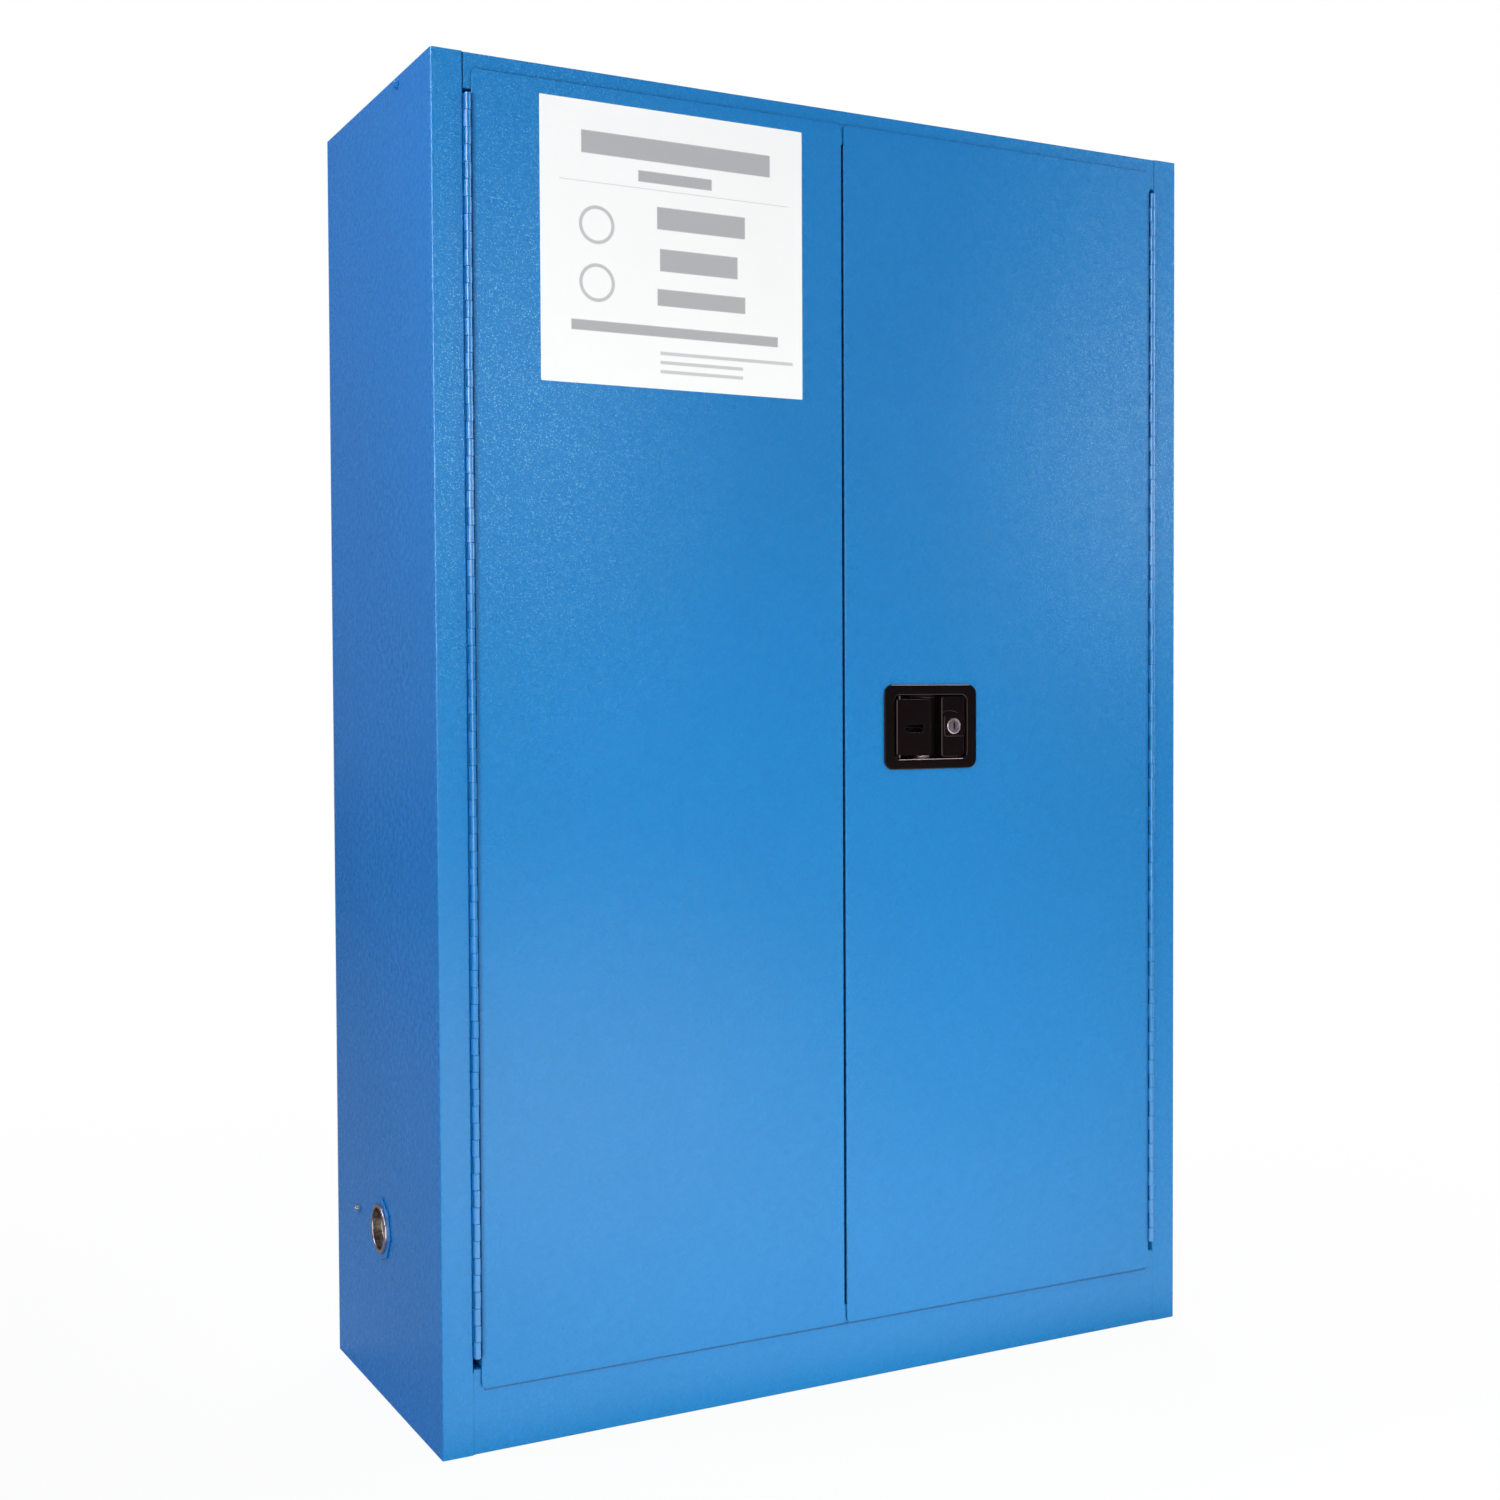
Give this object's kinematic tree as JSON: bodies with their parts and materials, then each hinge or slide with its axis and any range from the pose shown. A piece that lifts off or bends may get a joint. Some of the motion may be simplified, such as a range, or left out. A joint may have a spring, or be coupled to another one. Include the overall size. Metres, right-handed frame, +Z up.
{
  "type": "corrosive storage cabinet",
  "caption": "Tall two-door steel cabinet for corrosive liquids, double-walled, with continuous hinges, a paddle latch, bung vents, shelves and a sump.",
  "frame": {"origin": "middle of the base, on the floor", "axes": "+Z up, the doors face -Y, +X to the right as seen from the front"},
  "size_m": [1.102, 0.4598, 1.65],
  "materials": {
    "blue_paint": "fine-textured semi-gloss powder coat",
    "black_enamel": "gloss enamel",
    "nickel": "nickel plate",
    "bare_steel": "zinc-plated or bright steel",
    "galvanised_steel": "galvanised"
  },
  "bodies": {
    "cabinet_frame": {"back_panel": "blue_paint", "base_panel": "blue_paint", "bottom_keeper": "bare_steel", "bottom_rail": "blue_paint", "earthing_nut": "bare_steel", "earthing_stud": "bare_steel", "inner_back_wall": "blue_paint", "inner_ceiling": "blue_paint", "inner_left_wall": "blue_paint", "inner_right_wall": "blue_paint", "left_flame_arrester": "bare_steel", "left_frame_hinge_leaf": "blue_paint", "left_front_shelf_standard": "galvanised_steel", "left_hinge_pin": "bare_steel", "left_rear_shelf_standard": "galvanised_steel", "left_side_panel": "blue_paint", "left_vent_flange": "blue_paint", "lower_left_shelf_bracket": "galvanised_steel", "lower_right_shelf_bracket": "galvanised_steel", "right_flame_arrester": "bare_steel", "right_frame_hinge_leaf": "blue_paint", "right_front_shelf_standard": "galvanised_steel", "right_hinge_pin": "bare_steel", "right_rear_shelf_standard": "galvanised_steel", "right_side_panel": "blue_paint", "right_vent_flange": "blue_paint", "side_screw": "blue_paint", "sump_tray": "blue_paint", "top_keeper": "bare_steel", "top_panel": "blue_paint", "upper_left_shelf_bracket": "galvanised_steel", "upper_right_shelf_bracket": "galvanised_steel"},
    "left_door": {"left_door_skin": "blue_paint", "left_door_liner": "blue_paint", "left_door_hinge_leaf": "blue_paint", "centre_strike": "bare_steel"},
    "right_door": {"right_door_skin": "blue_paint", "right_door_liner": "blue_paint", "right_door_hinge_leaf": "blue_paint", "handle_dish": "black_enamel", "paddle_pivot_pin": "bare_steel", "paddle_spring": "bare_steel", "lock_barrel": "nickel", "upper_rod_guide": "bare_steel", "lower_rod_guide": "bare_steel"},
    "pull_paddle": {"paddle": "black_enamel"},
    "key_lock": {"lock_plug": "nickel", "lock_cam": "bare_steel"},
    "centre_bolt": {"latch_bolt": "bare_steel"},
    "upper_latch_rod": {"upper_rod": "bare_steel"},
    "lower_latch_rod": {"lower_rod": "bare_steel"},
    "left_bung": {"left_vent_bung": "bare_steel"},
    "right_bung": {"right_vent_bung": "bare_steel"},
    "lower_storage_shelf": {"lower_shelf": "galvanised_steel"},
    "upper_storage_shelf": {"upper_shelf": "galvanised_steel"},
    "front_left_foot": {"front_left_levelling_foot": "bare_steel"},
    "front_right_foot": {"front_right_levelling_foot": "bare_steel"},
    "rear_left_foot": {"rear_left_levelling_foot": "bare_steel"},
    "rear_right_foot": {"rear_right_levelling_foot": "bare_steel"}
  },
  "joints": [
    {"name": "left_door_hinge", "type": "hinge", "parent": "cabinet_frame", "child": "left_door", "pos_m": [-0.50187, -0.22567, 0.85], "axis": [0, 0, -1], "range_deg": [0, 180]},
    {"name": "right_door_hinge", "type": "hinge", "parent": "cabinet_frame", "child": "right_door", "pos_m": [0.50187, -0.22567, 0.85], "axis": [0, 0, 1], "range_deg": [0, 180]},
    {"name": "paddle_pull", "type": "hinge", "parent": "right_door", "child": "pull_paddle", "pos_m": [0.0865, -0.22057, 0.856], "axis": [0, 0, -1], "range_deg": [0, 35], "stiffness_Nm_per_rad": 0.5, "springref_deg": -20.05},
    {"name": "key_turn", "type": "hinge", "parent": "right_door", "child": "key_lock", "pos_m": [0.1687, -0.22837, 0.8567], "axis": [0, 1, 0], "range_deg": [0, 90]},
    {"name": "bolt_slide", "type": "slide", "parent": "right_door", "child": "centre_bolt", "axis": [1, 0, 0], "range_m": [0, 0.0143]},
    {"name": "upper_rod_slide", "type": "slide", "parent": "right_door", "child": "upper_latch_rod", "axis": [0, 0, -1], "range_m": [0, 0.0143]},
    {"name": "lower_rod_slide", "type": "slide", "parent": "right_door", "child": "lower_latch_rod", "axis": [0, 0, 1], "range_m": [0, 0.0143]},
    {"name": "left_bung_turn", "type": "hinge", "parent": "cabinet_frame", "child": "left_bung", "pos_m": [-0.5478, 0.01933, 0.218], "axis": [-1, 0, 0], "continuous": true},
    {"name": "right_bung_turn", "type": "hinge", "parent": "cabinet_frame", "child": "right_bung", "pos_m": [0.5478, 0.01933, 1.432], "axis": [1, 0, 0], "continuous": true},
    {"name": "lower_shelf_lift", "type": "slide", "parent": "cabinet_frame", "child": "lower_storage_shelf", "axis": [0, 0, 1], "range_m": [0, 0.03]},
    {"name": "upper_shelf_lift", "type": "slide", "parent": "cabinet_frame", "child": "upper_storage_shelf", "axis": [0, 0, 1], "range_m": [0, 0.03]},
    {"name": "front_left_foot_screw", "type": "slide", "parent": "cabinet_frame", "child": "front_left_foot", "axis": [0, 0, -1], "range_m": [0, 0.02]},
    {"name": "front_right_foot_screw", "type": "slide", "parent": "cabinet_frame", "child": "front_right_foot", "axis": [0, 0, -1], "range_m": [0, 0.02]},
    {"name": "rear_left_foot_screw", "type": "slide", "parent": "cabinet_frame", "child": "rear_left_foot", "axis": [0, 0, -1], "range_m": [0, 0.02]},
    {"name": "rear_right_foot_screw", "type": "slide", "parent": "cabinet_frame", "child": "rear_right_foot", "axis": [0, 0, -1], "range_m": [0, 0.02]}
  ],
  "couplings": [
    {"joint": "bolt_slide", "follows": "paddle_pull", "m_per_rad": 0.0234},
    {"joint": "upper_rod_slide", "follows": "paddle_pull", "m_per_rad": 0.0234},
    {"joint": "lower_rod_slide", "follows": "paddle_pull", "m_per_rad": 0.0234}
  ]
}
